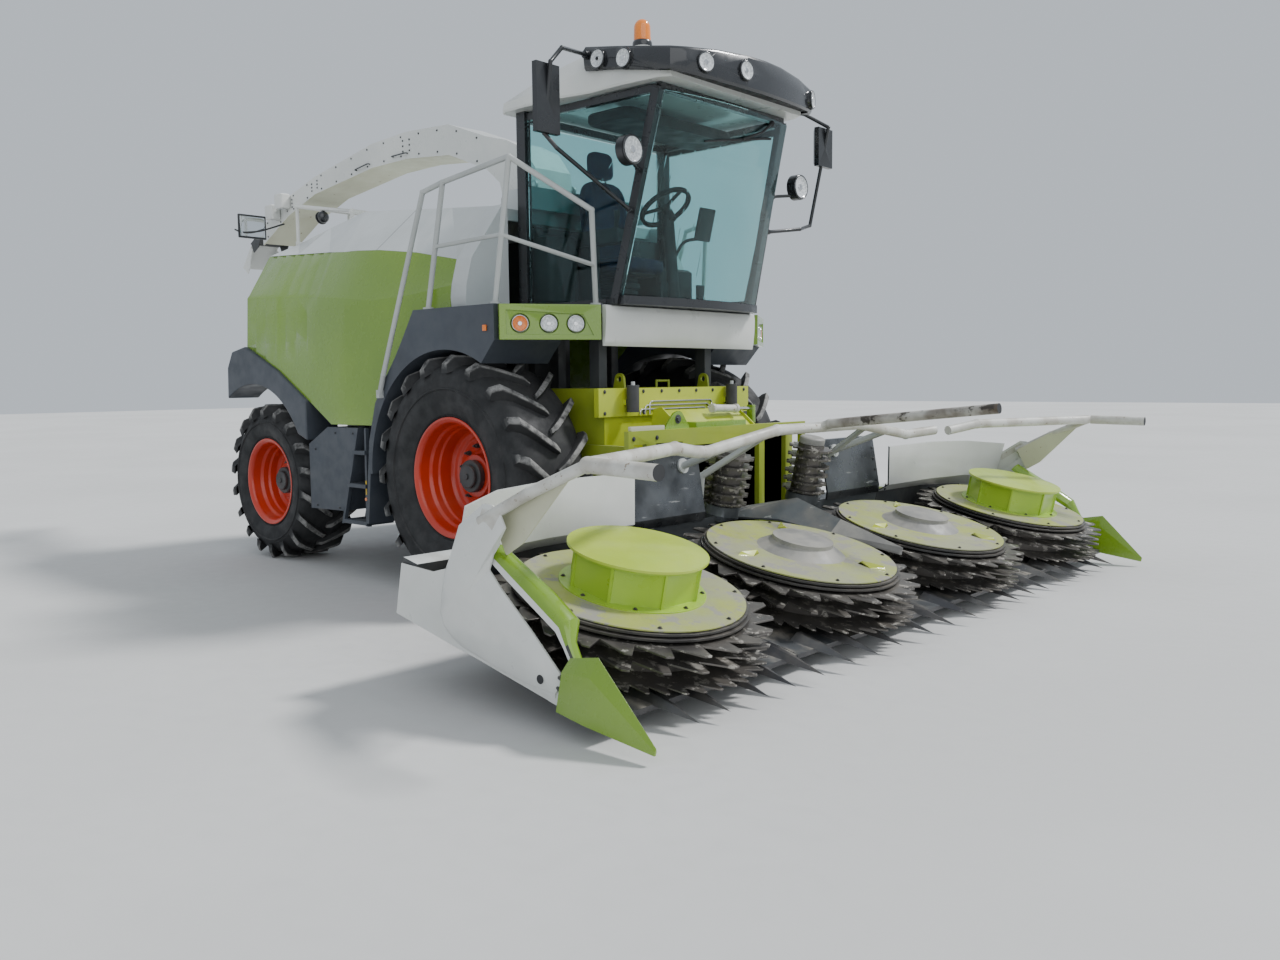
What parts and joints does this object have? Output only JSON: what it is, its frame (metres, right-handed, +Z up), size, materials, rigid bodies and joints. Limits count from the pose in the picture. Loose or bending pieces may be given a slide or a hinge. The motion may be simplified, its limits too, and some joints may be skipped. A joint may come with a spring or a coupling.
{
  "type": "forage harvester",
  "caption": "Self-propelled forage harvester with glazed cab, swivelling discharge spout, steered rear wheels and a folding rotary maize header.",
  "frame": {"origin": "on the ground, in the middle of the whole machine's box, header and spout included", "axes": "+X forwards to the header, +Y to the machine's left, +Z up"},
  "size_m": [8.6952, 6.082, 3.99],
  "materials": {
    "lime_paint": "gloss, light dust",
    "white_paint": "gloss, scuffed",
    "anthracite_plastic": "satin, dusty",
    "rim_red": "gloss, dusty",
    "tyre_rubber": "matt, grey dust on the lugs",
    "dark_steel": "matt, dusty and worn",
    "cast_dark": "rough",
    "yellow_green_steel": "worn, scratched",
    "black_frame": "satin",
    "cab_glass": "clear with a blue-green tint",
    "seat_cloth": "woven",
    "trim_black": "fine grain",
    "amber_lens": "clear amber",
    "grey_paint": "satin",
    "slate_steel": "scratched to bare metal",
    "rotor_paint": "worn through, grey scuffs",
    "drum_steel": "dark, worn edges"
  },
  "bodies": {
    "machine": {"chassis_frame": "dark_steel", "front_axle": "cast_dark", "rear_axle_beam": "cast_dark", "engine_block": "cast_dark", "chopper_housing": "yellow_green_steel", "side_panels": "lime_paint", "upper_hood": "white_paint", "front_fenders": "anthracite_plastic", "rear_fenders": "anthracite_plastic", "step_boxes": "anthracite_plastic", "platform": "dark_steel", "lamp_panels": "lime_paint", "front_apron": "white_paint", "handrails": "grey_paint", "cab_frame": "black_frame", "cab_roof": "white_paint", "roof_visor": "anthracite_plastic", "cab_glass": "cab_glass", "seat": "seat_cloth", "steering_column": "trim_black", "mirrors": "black_frame", "roof_lamps": "amber_lens", "spout_base": "grey_paint", "spout_cradle": "white_paint"},
    "wheel_front_left": {"tyre_front_left": "tyre_rubber", "rim_front_left": "rim_red"},
    "wheel_front_right": {"tyre_front_right": "tyre_rubber", "rim_front_right": "rim_red"},
    "wheel_rear_left": {"tyre_rear_left": "tyre_rubber", "rim_rear_left": "rim_red"},
    "wheel_rear_right": {"tyre_rear_right": "tyre_rubber", "rim_rear_right": "rim_red"},
    "steer_left": {"knuckle_left": "cast_dark"},
    "steer_right": {"knuckle_right": "cast_dark"},
    "tie_rod": {"tie_rod": "dark_steel"},
    "rear_door": {"rear_grille_door": "black_frame"},
    "cab_door": {"cab_door": "black_frame", "door_glass": "cab_glass"},
    "turret": {"spout_turret": "grey_paint"},
    "spout": {"spout": "white_paint"},
    "flap_inner": {"flap_inner": "dark_steel"},
    "flap_outer": {"flap_outer": "dark_steel"},
    "header": {"intake_housing": "yellow_green_steel", "header_centre": "slate_steel", "crop_guide": "white_paint"},
    "wing_left": {"header_wing_left": "white_paint"},
    "wing_right": {"header_wing_right": "white_paint"},
    "rotor_1": {"rotor_1": "rotor_paint"},
    "rotor_2": {"rotor_2": "rotor_paint"},
    "rotor_3": {"rotor_3": "rotor_paint"},
    "rotor_4": {"rotor_4": "rotor_paint"},
    "drum_left": {"infeed_drum_left": "drum_steel"},
    "drum_right": {"infeed_drum_right": "drum_steel"}
  },
  "joints": [
    {"name": "wheel_front_left", "type": "hinge", "parent": "machine", "child": "wheel_front_left", "pos_m": [0.995, 1.17, 0.875], "axis": [0, 1, 0], "continuous": true},
    {"name": "wheel_front_right", "type": "hinge", "parent": "machine", "child": "wheel_front_right", "pos_m": [0.995, -1.17, 0.875], "axis": [0, 1, 0], "continuous": true},
    {"name": "steer_left", "type": "hinge", "parent": "machine", "child": "steer_left", "pos_m": [-1.745, 0.79, 0.69], "axis": [0, 0, 1], "range_deg": [-45, 45]},
    {"name": "steer_right", "type": "hinge", "parent": "machine", "child": "steer_right", "pos_m": [-1.745, -0.79, 0.69], "axis": [0, 0, 1], "range_deg": [-45, 45]},
    {"name": "tie_rod_pin", "type": "hinge", "parent": "steer_left", "child": "tie_rod", "pos_m": [-1.505, 0.79, 0.69], "axis": [0, 0, 1], "range_deg": [-45, 45]},
    {"name": "wheel_rear_left", "type": "hinge", "parent": "steer_left", "child": "wheel_rear_left", "pos_m": [-1.745, 1.105, 0.69], "axis": [0, 1, 0], "continuous": true},
    {"name": "wheel_rear_right", "type": "hinge", "parent": "steer_right", "child": "wheel_rear_right", "pos_m": [-1.745, -1.105, 0.69], "axis": [0, 1, 0], "continuous": true},
    {"name": "rear_door_hinge", "type": "hinge", "parent": "machine", "child": "rear_door", "pos_m": [-2.125, -0.765, 2], "axis": [0, 0, 1], "range_deg": [0, 100]},
    {"name": "cab_door_hinge", "type": "hinge", "parent": "machine", "child": "cab_door", "pos_m": [1.023, 0.84, 2.8], "axis": [0, 0, 1], "range_deg": [0, 75]},
    {"name": "spout_swivel", "type": "hinge", "parent": "machine", "child": "turret", "pos_m": [0.345, 0, 3.01], "axis": [0, 0, 1], "range_deg": [-105, 105]},
    {"name": "spout_lift", "type": "hinge", "parent": "turret", "child": "spout", "pos_m": [0.575, 0, 3.125], "axis": [0, 1, 0], "range_deg": [0, 30]},
    {"name": "flap_inner_hinge", "type": "hinge", "parent": "spout", "child": "flap_inner", "pos_m": [-3.7843, 0, 3.232], "axis": [0, 1, 0], "range_deg": [-35, 15]},
    {"name": "flap_outer_hinge", "type": "hinge", "parent": "flap_inner", "child": "flap_outer", "pos_m": [-4.095, 0, 3.075], "axis": [0, 1, 0], "range_deg": [-35, 20]},
    {"name": "header_lift", "type": "hinge", "parent": "machine", "child": "header", "pos_m": [1.345, 0, 1.05], "axis": [0, -1, 0], "range_deg": [0, 18]},
    {"name": "header_fold_left", "type": "hinge", "parent": "header", "child": "wing_left", "pos_m": [2.6419, 1.5, 0.7861], "axis": [0.9781, 0, -0.2079], "range_deg": [0, 90]},
    {"name": "header_fold_right", "type": "hinge", "parent": "header", "child": "wing_right", "pos_m": [2.6419, -1.5, 0.7861], "axis": [-0.9781, 0, 0.2079], "range_deg": [0, 90]},
    {"name": "rotor_1_spin", "type": "hinge", "parent": "wing_right", "child": "rotor_1", "pos_m": [3.485, -2.25, 0.52], "axis": [0.2079, 0, 0.9781], "continuous": true},
    {"name": "rotor_2_spin", "type": "hinge", "parent": "header", "child": "rotor_2", "pos_m": [3.485, -0.75, 0.52], "axis": [0.2079, 0, 0.9781], "continuous": true},
    {"name": "rotor_3_spin", "type": "hinge", "parent": "header", "child": "rotor_3", "pos_m": [3.485, 0.75, 0.52], "axis": [0.2079, 0, 0.9781], "continuous": true},
    {"name": "rotor_4_spin", "type": "hinge", "parent": "wing_left", "child": "rotor_4", "pos_m": [3.485, 2.25, 0.52], "axis": [0.2079, 0, 0.9781], "continuous": true},
    {"name": "drum_left_spin", "type": "hinge", "parent": "header", "child": "drum_left", "pos_m": [2.67314, 0.48, 0.69257], "axis": [0.2079, 0, 0.9781], "continuous": true},
    {"name": "drum_right_spin", "type": "hinge", "parent": "header", "child": "drum_right", "pos_m": [2.67314, -0.48, 0.69257], "axis": [0.2079, 0, 0.9781], "continuous": true}
  ],
  "couplings": [
    {"joint": "steer_right", "follows": "steer_left", "ratio": 1},
    {"joint": "tie_rod_pin", "follows": "steer_left", "ratio": -1}
  ]
}
